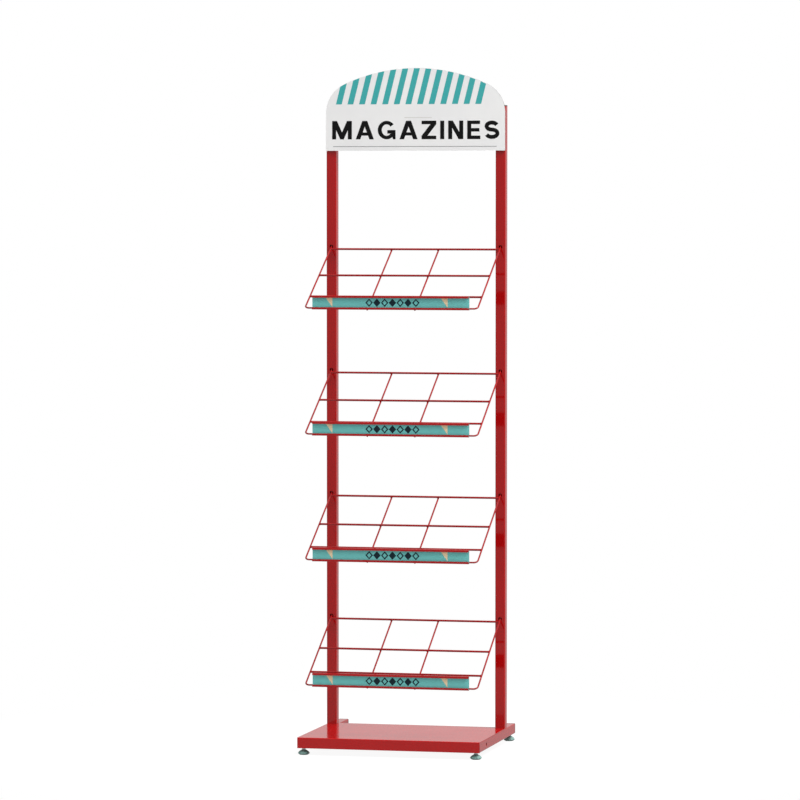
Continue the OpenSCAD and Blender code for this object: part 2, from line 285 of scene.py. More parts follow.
def shaded_wire_enamel():
    """The same enamel over drawn wire, in a darker copy as painted shade: slow shade changes and faint
    runs of paint.
    """
    finish = Finish("shaded_wire_enamel", 0.3, IOR=1.5)
    drift = finish.span(finish.noise(scale=18, detail=3), 0.3, 0.7)
    # Both wire colours are darker than the tube enamel: painted shade on the thin wires.
    finish.colour(finish.blend(drift, srgb(156, 8, 11), srgb(143, 7, 10)))
    finish.roughness(finish.span(finish.noise(scale=80, detail=3), 0.3, 0.75, to=(0.26, 0.35)))
    orange_peel = finish.noise(scale=600, detail=2)
    runs = finish.noise(scale=60, detail=2, place=finish.stretch(0.3, 1, 1))
    finish.relief(orange_peel, strength=0.04, depth=0.01 * MM)
    finish.relief(runs, strength=0.06, depth=0.05 * MM)
    return finish.material


def moulded_plastic(name, colour, worn, roughness, grain, gloss_level):
    """Injection-moulded plastic: spark-eroded grain, slow colour drift, rubbed edges."""
    finish = Finish(name, roughness, IOR=1.49, Specular_IOR_Level=gloss_level)
    drift = finish.blend(finish.span(finish.noise(scale=70, detail=3), 0.3, 0.7), colour, worn)
    patches = finish.span(finish.noise(scale=240, detail=4), 0.3, 0.7)
    rubbed = finish.math("MULTIPLY", finish.edges(radius=0.7 * MM), patches)
    finish.colour(finish.blend(finish.math("MULTIPLY", rubbed, 0.5), drift, worn))
    uneven = (roughness - 0.07, roughness + 0.1)
    finish.roughness(finish.span(finish.noise(scale=160, detail=4), 0.3, 0.75, to=uneven))
    eroded = finish.noise(scale=grain, detail=4, roughness=0.65)
    finish.relief(eroded, strength=0.3, depth=0.05 * MM)
    return finish.material


def zinc_plate():
    """Bright zinc over steel: crystalline mottling, fine turning marks, dull patches."""
    finish = Finish("zinc", 0.3, Metallic=1.0)
    crystals = finish.cells(scale=900)
    tone = finish.blend(finish.span(crystals, 0.1, 0.8), srgb(212, 214, 212), srgb(186, 190, 194))
    cloud = finish.span(finish.noise(scale=180, detail=4), 0.45, 0.75)
    finish.colour(finish.blend(finish.math("MULTIPLY", cloud, 0.5), tone, srgb(205, 198, 176)))
    finish.roughness(finish.span(finish.noise(scale=300, detail=4), 0.3, 0.8, to=(0.24, 0.42)))
    turning = finish.noise(scale=120, detail=2, place=finish.stretch(0.2, 0.2, 16))
    finish.relief(turning, strength=0.2, depth=0.04 * MM)
    finish.relief(crystals, strength=0.1, depth=0.03 * MM)
    return finish.material


def header_board():
    """Rigid foam board with a satin skin; its cut edges are a darker grey as painted shade, faintly
    mottled with pores.
    """
    finish = Finish("header_board", 0.34, IOR=1.46)
    drift = finish.span(finish.noise(scale=9, detail=4), 0.3, 0.7)
    skin = finish.blend(drift, srgb(240, 240, 239), srgb(236, 236, 236))
    # Faces that don't look to the front or back take a darker grey: painted shade on the board's cut
    # edges.
    pores = finish.span(finish.cells(scale=700), 0.1, 0.6)
    painted_edge_shade = finish.blend(pores, srgb(96, 95, 94), srgb(116, 115, 114))
    true_normal = finish.add("ShaderNodeNewGeometry").outputs["True Normal"]
    facing = finish.math("ABSOLUTE", finish.split(true_normal)["Y"])
    finish.colour(finish.blend(finish.span(facing, 0.3, 0.8), painted_edge_shade, skin))
    finish.roughness(finish.span(finish.noise(scale=70, detail=4), 0.3, 0.7, to=(0.28, 0.42)))
    finish.relief(finish.noise(scale=900, detail=3), strength=0.12, depth=0.03 * MM)
    finish.relief(finish.noise(scale=30, detail=2), strength=0.05, depth=0.1 * MM)
    return finish.material


def ink(name, colour, thin, roughness, gloss_level=0.5):
    """Screen-printed ink: slightly uneven cover and a fine mesh texture."""
    finish = Finish(name, roughness, IOR=1.5, Specular_IOR_Level=gloss_level)
    cover = finish.span(finish.noise(scale=140, detail=5, roughness=0.65), 0.35, 0.75)
    finish.colour(finish.blend(finish.math("MULTIPLY", cover, 0.35), colour, thin))
    uneven = (roughness - 0.06, roughness + 0.08)
    finish.roughness(finish.span(finish.noise(scale=320, detail=3), 0.3, 0.7, to=uneven))
    finish.relief(finish.noise(scale=1500, detail=2), strength=0.08, depth=0.01 * MM)
    return finish.material


def foam():
    """Closed-cell foam tape."""
    finish = Finish("foam_tape", 0.85, IOR=1.4)
    cells = finish.cells(scale=1400)
    finish.colour(finish.blend(finish.span(cells, 0.1, 0.6), srgb(96, 97, 99), srgb(130, 131, 133)))
    finish.relief(cells, strength=0.6, depth=0.15 * MM)
    finish.relief(finish.noise(scale=500, detail=3), strength=0.3, depth=0.1 * MM)
    return finish.material


tube_paint = red_enamel(
    "tube_enamel",
    body=srgb(168, 7, 9),
    deep=srgb(160, 6, 8),
    edge=srgb(188, 40, 42),
    gloss=0.07,
)
# The tray's enamel is a lighter copy of the tube enamel: painted light for the stronger light on the
# tray's top.
lit_tray_paint = red_enamel(
    "lit_tray_enamel",
    body=srgb(180, 8, 10),
    deep=srgb(174, 7, 9),
    edge=srgb(196, 52, 54),
    gloss=0.16,
)
shaded_wire_paint = shaded_wire_enamel()
cap_plastic = moulded_plastic(
    "cap_plastic",
    colour=srgb(58, 46, 46),
    worn=srgb(78, 66, 65),
    roughness=0.6,
    grain=1600,
    gloss_level=0.2,
)
foot_plastic = moulded_plastic(
    "foot_plastic",
    colour=srgb(114, 150, 143),
    worn=srgb(131, 166, 159),
    roughness=0.42,
    grain=1300,
    gloss_level=0.2,
)
zinc = zinc_plate()
board = header_board()
tape_foam = foam()
strip_print = ink("strip_print", srgb(107, 195, 191), srgb(115, 200, 196), roughness=0.4)
teal_ink = ink("teal_ink", srgb(54, 168, 168), srgb(72, 178, 177), roughness=0.38)
grey_ink = ink("grey_ink", srgb(120, 122, 124), srgb(140, 141, 143), roughness=0.42)
pale_ink = ink("pale_ink", srgb(196, 194, 186), srgb(206, 205, 198), roughness=0.42)
tan_ink = ink("tan_ink", srgb(238, 213, 172), srgb(243, 220, 181), roughness=0.42)
black_ink = ink("black_ink", srgb(13, 13, 14), srgb(22, 22, 23), roughness=0.5, gloss_level=0.15)
dark_teal_ink = ink("dark_teal_ink", srgb(14, 40, 50), srgb(22, 50, 60), roughness=0.5, gloss_level=0.2)

FINISH_OF_SLOT = {
    "red_paint": tube_paint,
    "dark_plastic": cap_plastic,
    "foot_plastic": foot_plastic,
    "zinc": zinc,
    "header_board": board,
    "foam_tape": tape_foam,
    "label_print": strip_print,
}


def dress_cad_nodes():
    """Gives each CAD node the finish of its slot; the wires get a darker copy of the enamel as painted
    shade, the tray a lighter copy as painted light.
    """
    for part in frame["record"]["subparts"]:
        name = part["node"]
        finish = FINISH_OF_SLOT[part["material_slot"]]
        if name.endswith(("_frame", "_cross_wires", "_dividers")):
            finish = shaded_wire_paint
        if name == "base_tray":
            finish = lit_tray_paint
        mesh = cad[name].data
        mesh.materials.clear()
        mesh.materials.append(finish)


# ---------- mesh helpers ----------

def new_object(name, mesh, finish, body):
    """Links a mesh as a piece of a body, with one finish."""
    mesh.materials.append(finish)
    piece = bpy.data.objects.new(name, mesh)
    bpy.context.scene.collection.objects.link(piece)
    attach(piece, body)
    return piece


def mesh_from(name, bm, smooth_angle=None):
    """Turns a bmesh into a mesh; edges sharper than smooth_angle degrees stay sharp."""
    bmesh.ops.recalc_face_normals(bm, faces=bm.faces)
    mesh = bpy.data.meshes.new(name)
    bm.to_mesh(mesh)
    bm.free()
    if smooth_angle is not None:
        mesh.shade_smooth()
        mesh.set_sharp_from_angle(angle=math.radians(smooth_angle))
    return mesh


def bridge(bm, low, high):
    """Quads between two closed rings of vertices."""
    for k in range(len(low)):
        n = (k + 1) % len(low)
        bm.faces.new((low[k], low[n], high[n], high[k]))


def loft(bm, rings, matrix):
    """Skins closed rings of points, in order, and caps both ends."""
    made = [[bm.verts.new(matrix @ Vector(p)) for p in ring] for ring in rings]
    for low, high in zip(made, made[1:]):
        bridge(bm, low, high)
    bm.faces.new(reversed(made[0]))
    bm.faces.new(made[-1])


def circle_ring(radius, z, count):
    """Points of a level circle round the Z axis."""
    turn = 2 * math.pi / count
    return [(radius * math.cos(k * turn), radius * math.sin(k * turn), z) for k in range(count)]


def square_ring(half, corner, z, per_corner=8):
    """A level square with round corners; half is half its side."""
    ring = []
    for quarter in range(4):
        start = quarter * math.pi / 2
        middle_x = (half - corner) * (1 if quarter in (0, 3) else -1)
        middle_y = (half - corner) * (1 if quarter in (0, 1) else -1)
        for k in range(per_corner + 1):
            a = start + k / per_corner * math.pi / 2
            ring.append((middle_x + corner * math.cos(a), middle_y + corner * math.sin(a), z))
    return ring


def upright_ring(bm, outline, y):
    """Vertices of an outline in X and Z, at one depth."""
    return [bm.verts.new((x, y, z)) for x, z in outline]


def plate(bm, outline, front_y):
    """A thin printed layer on a face that looks to the front."""
    front = upright_ring(bm, outline, front_y - PRINT_T)
    back = upright_ring(bm, outline, front_y)
    bm.faces.new(front)
    bm.faces.new(reversed(back))
    bridge(bm, front, back)


# ---------- header graphics ----------

# Radii of the header's outline, as in the CAD source
HEADER_TOP_R = 430 * MM
HEADER_SHOULDER_R = 80 * MM

# Stripes: the first one's left end, their height over the lower edge, and a margin at the arch
STRIPE_COUNT = 13
STRIPE_PITCH = 29.3 * MM
STRIPE_W = 14.7 * MM
STRIPE_LEFT = -200.3 * MM
STRIPE_RISE = 114.2 * MM
STRIPE_SLANT = math.tan(math.radians(14))
STRIPE_MARGIN = 0.8 * MM
STRIPE_TOP_STEPS = 8

# Steps of the search for a stripe's upper end
HALVINGS = 40

# Printed lines: left and right end, height over the header's lower edge, thickness
LOW_RULE = (-207.5 * MM, 205 * MM, 9.6 * MM, 1.3 * MM)
HIGH_RULE = (-27 * MM, 42.4 * MM, 81 * MM, 0.9 * MM)

header_low, header_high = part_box("header_panel")
header_y = header_low.y
stripe_foot = header_low.z + STRIPE_RISE


def header_edge(x):
    """Height of the header's top edge at x: a long arc, then a round shoulder."""
    arc_z = header_high.z - HEADER_TOP_R
    shoulder_x = header_high.x - HEADER_SHOULDER_R
    link = HEADER_TOP_R - HEADER_SHOULDER_R
    turn = math.acos(shoulder_x / link)
    if abs(x) <= HEADER_TOP_R * math.cos(turn):
        return arc_z + math.sqrt(HEADER_TOP_R ** 2 - x ** 2)
    past = min(abs(x) - shoulder_x, HEADER_SHOULDER_R)
    return arc_z + link * math.sin(turn) + math.sqrt(HEADER_SHOULDER_R ** 2 - past ** 2)


def stripe_top(foot_x):
    """Where a slanted line from foot_x meets the header's top edge, found by halving."""
    low, high = stripe_foot, header_high.z
    for _ in range(HALVINGS):
        z = (low + high) / 2
        x = foot_x + (z - stripe_foot) * STRIPE_SLANT
        if z < header_edge(x) - STRIPE_MARGIN:
            low = z
        else:
            high = z
    return x, z


def header_stripes():
    """Slanted stripes whose upper ends follow the header's arch."""
    bm = bmesh.new()
    for i in range(STRIPE_COUNT):
        left = STRIPE_LEFT + i * STRIPE_PITCH
        shares = [k / STRIPE_TOP_STEPS for k in range(STRIPE_TOP_STEPS, -1, -1)]
        top = [stripe_top(left + share * STRIPE_W) for share in shares]
        plate(bm, [(left, stripe_foot), (left + STRIPE_W, stripe_foot), *top], header_y)
    mesh = mesh_from("header_stripes", bm)
    new_object("header_stripes", mesh, teal_ink, "stand")


def header_rule(name, rule, finish):
    """A thin printed line across the header."""
    left, right, above, thickness = rule
    z = header_low.z + above
    bm = bmesh.new()
    plate(bm, [(left, z), (right, z), (right, z + thickness), (left, z + thickness)], header_y)
    new_object(name, mesh_from(name, bm), finish, "stand")


# ---------- header lettering ----------

# Height of a capital, and widths of its upright and level strokes
CAP = 45.4 * MM
STEM = 10.2 * MM
BAR = 8.6 * MM

# Where the word stands: over the header's lower edge, and from end to end
WORD_RISE = 28 * MM
WORD_LEFT = -210 * MM
WORD_RIGHT = 212 * MM

# Steps along a letter's curves, the least cosine of a mitre, and the distance of a double point
ROUND_STEPS = 26
BOWL_STEPS = 18
SHARPEST_MITRE = 0.5
SAME_POINT = 0.001 * MM


def arc(centre, radii, start, stop, steps):
    """Points of an elliptical arc from start to stop degrees."""
    points = []
    for k in range(steps + 1):
        a = math.radians(start + (stop - start) * k / steps)
        points.append((centre[0] + radii[0] * math.cos(a), centre[1] + radii[1] * math.sin(a)))
    return points


def ribbon(path, width):
    """Outline of a stroke of even width along a path, with mitred corners."""
    points = [Vector(p) for p in path]
    left, right = [], []
    for k, point in enumerate(points):
        before = (point - points[max(k - 1, 0)]).normalized()
        after = (points[min(k + 1, len(points) - 1)] - point).normalized()
        along = (before + after).normalized()
        across = Vector((-along.y, along.x))
        run = after if after.length else before
        reach = width / 2 / max(SHARPEST_MITRE, along.dot(run))
        left.append(point + across * reach)
        right.append(point - across * reach)
    return [tuple(p) for p in left + right[::-1]]


def letter_m(w=50 * MM):
    """Two stems and a deep V between them."""
    shoulder, foot = STEM * 1.2, 4.4 * MM
    slope = CAP / (w / 2 - foot)
    notch = CAP - slope * (w / 2 - shoulder)
    inner = CAP - slope * STEM
    outline = [(0, 0), (0, CAP), (shoulder, CAP), (w / 2, notch), (w - shoulder, CAP), (w, CAP)]
    outline += [(w, 0), (w - STEM, 0), (w - STEM, inner), (w / 2 + foot, 0)]
    outline += [(w / 2 - foot, 0), (STEM, inner), (STEM, 0)]
    return w, [outline]


def letter_a(w=46 * MM):
    """Two sloping legs joined by a bar, with a triangle left open above it."""
    top = 6.2 * MM
    lean = (w / 2 - top) / CAP
    leg = STEM * 1.12
    bar_low = 9.2 * MM
    bar_high = bar_low + BAR * 0.9
    outline = [(0, 0), (w / 2 - top, CAP), (w / 2 + top, CAP), (w, 0), (w - leg, 0)]
    outline += [(w - leg - lean * bar_low, bar_low), (leg + lean * bar_low, bar_low), (leg, 0)]
    peak = (w / 2 - leg) / lean
    opening = [(leg + lean * bar_high, bar_high), (w - leg - lean * bar_high, bar_high), (w / 2, peak)]
    return w, [outline, opening]


def letter_g(w=45 * MM):
    """An open round with a spur and a bar."""
    mid = CAP / 2
    bar_left = w * 0.54
    spur_left = w - 6.5 * MM
    outline = arc((w / 2, mid), (w / 2, mid), 38, 310, ROUND_STEPS)
    outline += [(spur_left, 0), (w, 0), (w, mid), (bar_left, mid), (bar_left, mid - BAR)]
    outline += [(w - STEM, mid - BAR)]
    outline += arc((w / 2, mid), (w / 2 - STEM, mid - BAR), 320, 38, ROUND_STEPS)
    return w, [outline]


def letter_z(w=37 * MM):
    """Two bars and a diagonal."""
    cut = STEM * 1.45
    outline = [(0, 0), (w, 0), (w, BAR), (cut, BAR), (w, CAP - BAR), (w, CAP), (0, CAP)]
    outline += [(0, CAP - BAR), (w - cut, CAP - BAR), (0, BAR)]
    return w, [outline]


def letter_i(w=STEM):
    """One stem."""
    return w, [[(0, 0), (w, 0), (w, CAP), (0, CAP)]]


def letter_n(w=38 * MM):
    """Two stems and a diagonal."""
    cut = STEM * 1.15
    drop = CAP * STEM / (w - cut)
    outline = [(0, 0), (STEM, 0), (STEM, CAP - drop), (w - cut, 0), (w, 0)]
    outline += [(w, CAP), (w - STEM, CAP), (w - STEM, drop), (cut, CAP), (0, CAP)]
    return w, [outline]


def letter_e(w=33 * MM):
    """A stem and three bars."""
    mid = CAP / 2 - BAR / 2
    middle_end, top_end = w * 0.93, w * 0.98
    outline = [(0, 0), (w, 0), (w, BAR), (STEM, BAR), (STEM, mid), (middle_end, mid)]
    outline += [(middle_end, mid + BAR), (STEM, mid + BAR), (STEM, CAP - BAR), (top_end, CAP - BAR)]
    outline += [(top_end, CAP), (0, CAP)]
    return w, [outline]


def letter_s(w=38 * MM):
    """Two bowls, the lower one a little larger."""
    upper_z = (CAP - STEM) * 0.245
    lower_z = (CAP - STEM) / 2 - upper_z
    reach = (w - STEM) / 2
    path = arc((w / 2, CAP - STEM / 2 - upper_z), (reach * 0.95, upper_z), 22, 265, BOWL_STEPS)
    path += arc((w / 2, STEM / 2 + lower_z), (reach, lower_z), 85, -160, BOWL_STEPS)
    return w, [ribbon(path, STEM * 0.96)]


def word_curve():
    """The word's outlines as one flat, filled curve, with its letters evenly apart."""
    drawn = [letter_m(), letter_a(), letter_g(), letter_a(), letter_z(), letter_i()]
    drawn += [letter_n(), letter_e(), letter_s()]
    gap = (WORD_RIGHT - WORD_LEFT - sum(width for width, _ in drawn)) / (len(drawn) - 1)
    curve = bpy.data.curves.new("header_word", "CURVE")
    curve.dimensions = "2D"
    curve.fill_mode = "BOTH"
    curve.extrude = PRINT_T / 2
    x = WORD_LEFT
    for width, outlines in drawn:
        for outline in outlines:
            spline = curve.splines.new("POLY")
            spline.points.add(len(outline) - 1)
            spline.use_cyclic_u = True
            for point, (along, up) in zip(spline.points, outline):
                point.co = (x + along, header_low.z + WORD_RISE + up, 0, 1)
        x += width + gap
    return curve


def header_word():
    """A plain word for what the rack holds, in bold capitals across the header."""
    word = bpy.data.objects.new("header_word", word_curve())
    bpy.context.scene.collection.objects.link(word)
    bpy.context.view_layer.update()
    bm = bmesh.new()
    bm.from_mesh(word.to_mesh())
    bpy.data.objects.remove(word)
    bmesh.ops.remove_doubles(bm, verts=bm.verts, dist=SAME_POINT)
    for v in bm.verts:
        v.co = (v.co.x, header_y - PRINT_T / 2 - v.co.z, v.co.y)
    new_object("header_word", mesh_from("header_word", bm), black_ink, "stand")


# ---------- label graphics ----------

# Triangles: width, left ends, and gaps to the strip's upper and lower edge
TRIANGLE_W = 17.2 * MM
TRIANGLES_X = (-161.3 * MM, 123.7 * MM)
TRIANGLE_TOP_GAP = 3 * MM
TRIANGLE_FOOT_GAP = 4.5 * MM

# Lozenges: how many, their size and stroke, and the band's left end and pitch
LOZENGES = 7
LOZENGE_W = 18.5 * MM
LOZENGE_H = 20 * MM
LOZENGE_STROKE = 4 * MM
BAND_LEFT = -62.2 * MM
BAND_PITCH = 19.27 * MM


def lozenge(x, z, inset=0.0):
    """Outline of a lozenge about a point; inset shortens all four reaches."""
    half_w = LOZENGE_W / 2 - inset
    half_h = LOZENGE_H / 2 - inset
    return [(x - half_w, z), (x, z - half_h), (x + half_w, z), (x, z + half_h)]


def hollow_lozenge(bm, x, z, front_y):
    """A lozenge-shaped frame, printed as one closed ring."""
    outer = lozenge(x, z)
    inner = lozenge(x, z, LOZENGE_STROKE)
    face_y = front_y - PRINT_T
    rings = []
    for outline, y in ((outer, face_y), (inner, face_y), (inner, front_y), (outer, front_y)):
        rings.append(upright_ring(bm, outline, y))
    for ring, following in zip(rings, rings[1:] + rings[:1]):
        bridge(bm, ring, following)


def label_triangles(i):
    """Two printed triangles that hang from a label strip's upper edge."""
    low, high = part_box(f"label_{i}")
    foot, top = low.z + TRIANGLE_FOOT_GAP, high.z - TRIANGLE_TOP_GAP
    bm = bmesh.new()
    for x in TRIANGLES_X:
        plate(bm, [(x + TRIANGLE_W, foot), (x + TRIANGLE_W, top), (x, top)], low.y)
    mesh = mesh_from(f"label_{i}_triangles", bm)
    new_object(f"label_{i}_triangles", mesh, tan_ink, f"label_{i}")


def label_band(i):
    """A row of lozenges along a label strip, by turns hollow and solid."""
    z = middle(f"label_{i}").z
    front_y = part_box(f"label_{i}")[0].y
    bm = bmesh.new()
    for k in range(LOZENGES):
        x = BAND_LEFT + LOZENGE_W / 2 + k * BAND_PITCH
        if k % 2:
            plate(bm, lozenge(x, z), front_y)
        else:
            hollow_lozenge(bm, x, z, front_y)
    mesh = mesh_from(f"label_{i}_band", bm)
    new_object(f"label_{i}_band", mesh, dark_teal_ink, f"label_{i}")


# ---------- welds ----------

# Shelf as in the CAD source: slope, wire radii, and how far down the slope the wires cross
SLOPE = math.radians(28.5)
ARM_R = 2 * MM
CROSS_R = 2.5 * MM
SHELF_RUN = 301.5 * MM
CROSS_S = (11 * MM, 142.5 * MM, 246 * MM)
DIVIDER_X = 59 * MM

# Collar round a cross wire's end: each ring's distance from the widest one, and its radius
COLLAR_RINGS = (
    (4 * MM, 2.42 * MM),
    (3 * MM, 2.56 * MM),
    (2 * MM, 2.7 * MM),
    (1 * MM, 2.9 * MM),
    (0 * MM, 3.05 * MM),
)
COLLAR_SIDES = 20

# Where the widest ring sits, in arm radii from the arm's middle line
COLLAR_IN_ARM = 0.6

# Half sizes of the bead where a divider meets a wire, and of a channel's tack
BEAD = (2.9 * MM, 2.9 * MM, 1.5 * MM)
TACK = (5.5 * MM, 0.9 * MM, 1.1 * MM)

# Tacks: how many, over what share of the channel, behind it, and over and under the wire
TACKS = 4
TACK_SPREAD = 0.86
TACK_BEHIND = 0.5 * MM
TACK_RISE = 1.5 * MM

# Unevenness of the weld metal: share of the radius, and noise scale
BEAD_LUMPS = (0.12, 2.2)
COLLAR_LUMPS = (0.05, 700)


def lump(point, seed, lumps):
    """A factor near 1 that makes weld metal uneven; seeds only have to differ."""
    share, scale = lumps
    return 1 + share * noise.noise(point * scale + Vector((seed, 0, 0)))


def blob(bm, matrix, size, seed):
    """A small uneven bead of weld metal under paint."""
    made = bmesh.ops.create_icosphere(bm, subdivisions=3, radius=1.0)
    for v in made["verts"]:
        factor = lump(v.co, seed, BEAD_LUMPS)
        v.co = matrix @ Vector(c * s * factor for c, s in zip(v.co, size))


def collar(bm, matrix, seed):
    """A fillet round a cross wire where it butts against an arm, at the origin."""
    rings = []
    for reach, radius in COLLAR_RINGS:
        ring = []
        for x, y, z in circle_ring(radius, -reach, COLLAR_SIDES):
            factor = lump(Vector((x, y, z)), seed, COLLAR_LUMPS)
            ring.append((x * factor, y * factor, z))
        rings.append(ring)
    loft(bm, rings, matrix)


def arm_welds(bm, slope, i):
    """Collars where the cross wires meet the arms."""
    arm_x = middle("right_post").x
    for side in SIDES:
        turn = Matrix.Rotation(side * math.pi / 2, 4, "Y")
        for s in CROSS_S:
            end = Matrix.Translation((side * (arm_x - ARM_R * COLLAR_IN_ARM), -s, CROSS_R - ARM_R))
            collar(bm, slope @ end @ turn, i + side + s * 100)


def divider_welds(bm, slope, i):
    """Beads where the dividers lie on the cross wires and the front wire."""
    for side in SIDES:
        for s in (*CROSS_S, SHELF_RUN):
            place = Matrix.Translation((side * DIVIDER_X, -s, -ARM_R))
            blob(bm, slope @ place, BEAD, i * 7 + side + s * 90)


def channel_welds(bm, slope, i):
    """Tacks over and under the front wire, along the back of the channel."""
    channel_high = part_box(f"shelf_{i}_channel")[1]
    front_wire_z = (slope @ Vector((0, -SHELF_RUN, 0))).z
    for k in range(TACKS):
        x = channel_high.x * TACK_SPREAD * (2 * k / (TACKS - 1) - 1)
        for side in SIDES:
            z = front_wire_z + side * TACK_RISE
            place = Matrix.Translation((x, channel_high.y + TACK_BEHIND, z))
            blob(bm, place, TACK, k + side * 3 + i)


def shelf_welds(i):
    """All welds of one shelf."""
    pivot = Vector(joints[f"shelf_{i}_tilt"]["pos_m"])
    slope = Matrix.Translation(pivot) @ Matrix.Rotation(SLOPE, 4, "X")
    bm = bmesh.new()
    arm_welds(bm, slope, i)
    divider_welds(bm, slope, i)
    channel_welds(bm, slope, i)
    mesh = mesh_from(f"shelf_{i}_welds", bm, smooth_angle=60)
    new_object(f"shelf_{i}_welds", mesh, shaded_wire_paint, f"shelf_{i}")


# ---------- foot pads ----------

# Main sizes as in the CAD source
PAD_SOLE_R = 10 * MM
PAD_RIM_Z = 3.5 * MM
PAD_RIM_T = 1 * MM
PAD_HUB_R = 5 * MM

# Sole: a ring to stand on, round a shallow recess
SOLE_RING_W = 2 * MM
SOLE_RECESS = 0.6 * MM
SOLE_RECESS_SLOPE = 0.4 * MM
SOLE_CORNER = 0.3 * MM

# Flare from the sole to the rim: where it starts and ends, and how it curves
FLARE_START_Z = 0.25 * MM
FLARE_INSET = 0.3 * MM
FLARE_SHARE = 0.93
FLARE_CURVE = 1.25
FLARE_STEPS = 6

# Rim: a round bead, drawn from its underside to its top
RIM_R = 0.5 * MM
RIM_START = -60
RIM_SWEEP = 150
RIM_STEPS = 4

# Dome from the rim to the hub, the hub's rounded top (inset and drop of its points), and bore
DOME_INSET = 1 * MM
DOME_CURVE = 1.9
DOME_STEPS = 12
HUB_TOP_T = 0.6 * MM
HUB_ROUND = ((0.1 * MM, 0.2 * MM), (0.5 * MM, 0))
PAD_BORE_R = 3.3 * MM
PAD_SIDES = 72


def pad_underside(radius):
    """Radius and height along the pad from its sole to under the rim."""
    ring_r = PAD_SOLE_R - SOLE_RING_W
    profile = [(ring_r - SOLE_RECESS_SLOPE, SOLE_RECESS), (ring_r, 0), (PAD_SOLE_R - SOLE_CORNER, 0)]
    flare_w = radius - FLARE_INSET - PAD_SOLE_R
    for k in range(FLARE_STEPS + 1):
        t = k / FLARE_STEPS
        z = FLARE_START_Z + PAD_RIM_Z * FLARE_SHARE * t ** FLARE_CURVE
        profile.append((PAD_SOLE_R + flare_w * t, z))
    return profile


def pad_rim(radius):
    """Radius and height round the pad's rim."""
    profile = []
    for k in range(1, RIM_STEPS + 1):
        a = math.radians(RIM_START + RIM_SWEEP * k / RIM_STEPS)
        profile.append((radius - RIM_R + RIM_R * math.cos(a), PAD_RIM_Z + RIM_R * (1 + math.sin(a))))
    return profile


def pad_top(radius, rise):
    """Radius and height along the pad's dome, over the hub to its bore."""
    profile = []
    dome_z = PAD_RIM_Z + PAD_RIM_T
    for k in range(1, DOME_STEPS + 1):
        t = k / DOME_STEPS
        r = PAD_HUB_R + (radius - DOME_INSET - PAD_HUB_R) * (1 - t ** DOME_CURVE)
        profile.append((r, dome_z + (rise - dome_z - HUB_TOP_T) * t))
    profile += [(PAD_HUB_R - inset, rise - drop) for inset, drop in HUB_ROUND]
    profile.append((PAD_BORE_R, rise))
    return profile


def foot_pad(foot):
    """A saucer-shaped pad: recessed sole, flare to a thin rim, domed top up to the hub."""
    low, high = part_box(f"{foot}_foot_pad")
    centre = middle(f"{foot}_foot_pad")
    radius = (high.x - low.x) / 2
    profile = pad_underside(radius) + pad_rim(radius) + pad_top(radius, high.z - low.z)
    bm = bmesh.new()
    place = Matrix.Translation((centre.x, centre.y, low.z))
    loft(bm, [circle_ring(r, z, PAD_SIDES) for r, z in profile], place)
    mesh = mesh_from(f"{foot}_foot_saucer", bm, smooth_angle=40)
    piece = new_object(f"{foot}_foot_saucer", mesh, foot_plastic, f"{foot}_foot")
    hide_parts(f"{foot}_foot_pad")


# ---------- foot studs ----------

# Stud and hexagon as in the CAD source, with the hexagon's chamfer
STUD_R = 3 * MM
STUD_SIDES = 48
HEX_H = 4 * MM
HEX_ACROSS = 8 * MM
HEX_CHAMFER = 0.4 * MM

# Thread: rows of points a turn, and the tooth's steepness and flat crest
THREAD_PITCH = 1 * MM
THREAD_DEPTH = 0.55 * MM
THREAD_ROWS = 8
THREAD_STEEPNESS = 1.3
THREAD_CREST = 0.15

# The last stretch of the stud, where the thread runs out into a thinner tip
TIP_H = 1.5 * MM
TIP_TAPER = 0.6 * MM


def hex_ring(z, limit):
    """A hexagon as a ring of points, its corners cut back to the radius limit."""
    ring = []
    for k in range(STUD_SIDES):
        a = 2 * math.pi * k / STUD_SIDES
        from_flat = (a + math.pi / 6) % (math.pi / 3) - math.pi / 6
        radius = min(HEX_ACROSS / 2 / math.cos(from_flat), limit)
        ring.append((radius * math.cos(a), radius * math.sin(a), z))
    return ring


def hexagon_rings(z):
    """A hexagon for a spanner, with chamfered corners, standing at height z."""
    flat = HEX_ACROSS / 2
    corner = HEX_ACROSS / math.sqrt(3)
    top = z + HEX_H
    rings = [hex_ring(z, flat), hex_ring(z + HEX_CHAMFER, corner)]
    return rings + [hex_ring(top - HEX_CHAMFER, corner), hex_ring(top, flat)]


def thread_ring(z, tip_z):
    """One level ring of points round a rolled thread."""
    fade = min(1, (tip_z - z) / TIP_H)
    ring = []
    for k, (x, y, _) in enumerate(circle_ring(1, z, STUD_SIDES)):
        tooth = abs(((z / THREAD_PITCH - k / STUD_SIDES) % 1) * 2 - 1)
        depth = THREAD_DEPTH * min(1, max(0, tooth * THREAD_STEEPNESS - THREAD_CREST))
        radius = STUD_R - depth * fade - TIP_TAPER * (1 - fade)
        ring.append((x * radius, y * radius, z))
    return ring


